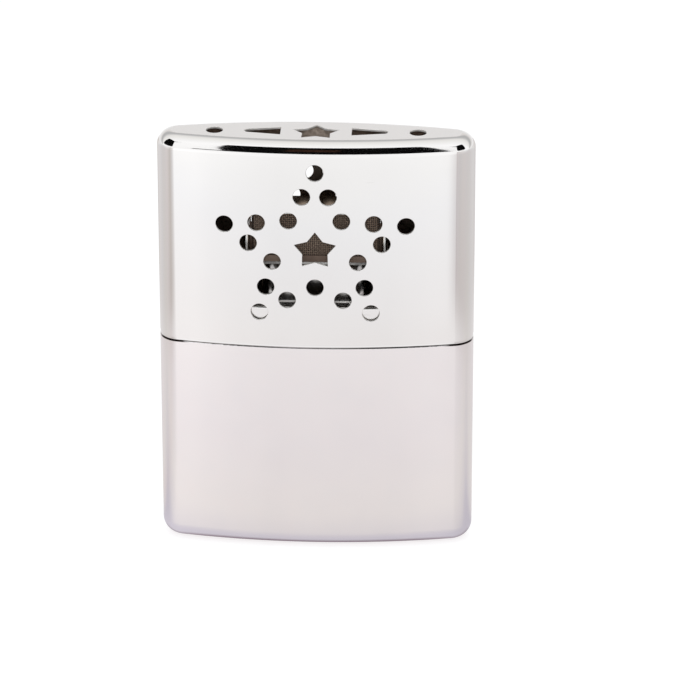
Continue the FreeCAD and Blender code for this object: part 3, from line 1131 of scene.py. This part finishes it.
def make_card(name, azimuth, half_spread, low, high, material, lean=0, corner=0, distance=card_distance):
    """A dark card that only reflections see, placed by the directions that it covers, in degrees.

    lean moves its upper left corner outwards, and corner rounds them all, both in metres."""
    heading = math.radians(azimuth)
    bottom = card_eye + distance * math.tan(math.radians(low))
    upper = card_eye + distance * math.tan(math.radians(high))
    width = 2 * distance * math.tan(math.radians(half_spread))
    place = (distance * math.sin(heading), -distance * math.cos(heading), (bottom + upper) / 2)
    card = add_new(name, bpy.ops.mesh.primitive_plane_add, size=1, location=place,
                   rotation=(math.pi / 2, 0, heading))
    card.scale = (width, upper - bottom, 1)
    edit(True)
    pick(card, "VERT", lambda point: point.x < 0 < point.y)
    bpy.ops.transform.translate(value=(-lean, 0, 0))
    edit(False)
    bpy.ops.object.transform_apply(location=False, rotation=False, scale=True)
    if corner:
        edit(True)
        bpy.ops.mesh.select_all(action="SELECT")
        bpy.ops.mesh.bevel(offset=corner, segments=6, affect="VERTICES")
        edit(False)
    card.data.materials.append(material)
    card.visible_camera = False
    card.visible_diffuse = False
    card.visible_transmission = False
    card.visible_shadow = False


def card_paint(name, colour):
    paint = Finish(name, colour, 0.5, 0)
    paint.feed("Specular IOR Level", 0)
    return paint.material


def make_cards():
    black = card_paint("black_card", (0.004, 0.0035, 0.0035))
    brown = card_paint("brown_card", (0.045, 0.02, 0.013))
    make_card("front_card", 1.3, 20.7, 7.5, 60, black, lean=0.22)
    make_card("brown_card", -3.5, 5, 27, 44, brown, distance=1.25)
    make_card("left_tail_card", -22.2, 3.3, 7.5, 12, black)
    make_card("left_card", -62, 27, 8, 55, black, corner=0.25)
    make_card("right_card", 48, 22, 8, 50, black, corner=0.22)


# The sky as the metal mirrors it, in degrees up from behind, over the top and down in front
sky_by_angle = (
    (0, grey(0.95)), (18, grey(0.80)), (23, (0.76, 0.735, 0.715)), (26, (0.74, 0.715, 0.695)),
    (33, grey(0.52)), (42, grey(0.47)), (50, grey(0.56)), (64, (0.83, 0.82, 0.80)),
    (84, (0.91, 0.905, 0.885)), (104, grey(0.98)), (119, grey(1.05)), (180, grey(1)))
sky_light = 0.65            # what the sky gives as light; it is seen as 1


def make_world():
    """White all round; in reflections a grey backdrop that is darkest below its upper edge."""
    world = bpy.data.worlds.new("studio")
    bpy.context.scene.world = world
    world.use_nodes = True
    tree = world.node_tree
    background = tree.nodes["Background"]
    direction = tree.nodes.new("ShaderNodeTexCoord").outputs["Generated"]
    angle = calculate(tree, "ARCTAN2", part_of(tree, direction, "Z"), part_of(tree, direction, "Y"))
    tones = tone_ramp(tree, angle, [(math.radians(degrees), tone) for degrees, tone in sky_by_angle])
    seen, glossy = light_paths(tree)
    feed(tree, background.inputs["Color"], mix(tree, "RGBA", glossy, grey(1), tones))
    feed(tree, background.inputs["Strength"], spread(tree, seen, 0, 1, sky_light, 1))


camera_azimuth = math.radians(2.25)
camera_elevation = math.radians(24)
camera_lens = 237           # in millimetres, for a sensor 36 mm wide
aim_right = 7.2 * MM        # the camera aims this far beside and below the middle of the body
aim_down = 3.2 * MM
camera_back = Vector((math.sin(camera_azimuth) * math.cos(camera_elevation),
                      -math.cos(camera_azimuth) * math.cos(camera_elevation), math.sin(camera_elevation)))
camera_turn = (-camera_back).to_track_quat("-Z", "Y")
body_middle = Vector((0, 0, top / 2))


def make_lamp(name, place, turned, width, depth, radiance):
    """A soft lamp that the metal doesn't mirror."""
    lamp = add_new(name, bpy.ops.object.light_add, type="AREA", location=place)
    lamp.data.shape = "RECTANGLE"
    lamp.data.size, lamp.data.size_y = width, depth
    lamp.data.energy = radiance * math.pi * width * depth
    lamp.rotation_mode = "QUATERNION"
    lamp.rotation_quaternion = turned
    lamp.visible_glossy = False


def make_lamps():
    """A softbox overhead, and a lamp beside the camera for what shows through the holes."""
    make_lamp("softbox", (0, -0.1, 0.9), (1, 0, 0, 0), width=0.9, depth=0.6, radiance=1.0)
    make_lamp("fill", body_middle + camera_back * 1.2, camera_turn, width=0.3, depth=0.3, radiance=17)


def make_camera():
    """A long lens a metre away, above and a little to the right."""
    right, up = camera_turn @ Vector((1, 0, 0)), camera_turn @ Vector((0, 1, 0))
    camera = add_new("camera", bpy.ops.object.camera_add)
    camera.data.sensor_width = 36
    camera.data.lens = camera_lens
    camera.data.clip_end = 30
    camera.location = body_middle + right * aim_right - up * aim_down + camera_back
    camera.rotation_mode = "QUATERNION"
    camera.rotation_quaternion = camera_turn
    bpy.context.scene.camera = camera


make_floor()
make_cards()
make_world()
make_lamps()
make_camera()
bpy.context.scene.view_settings.view_transform = "Standard"
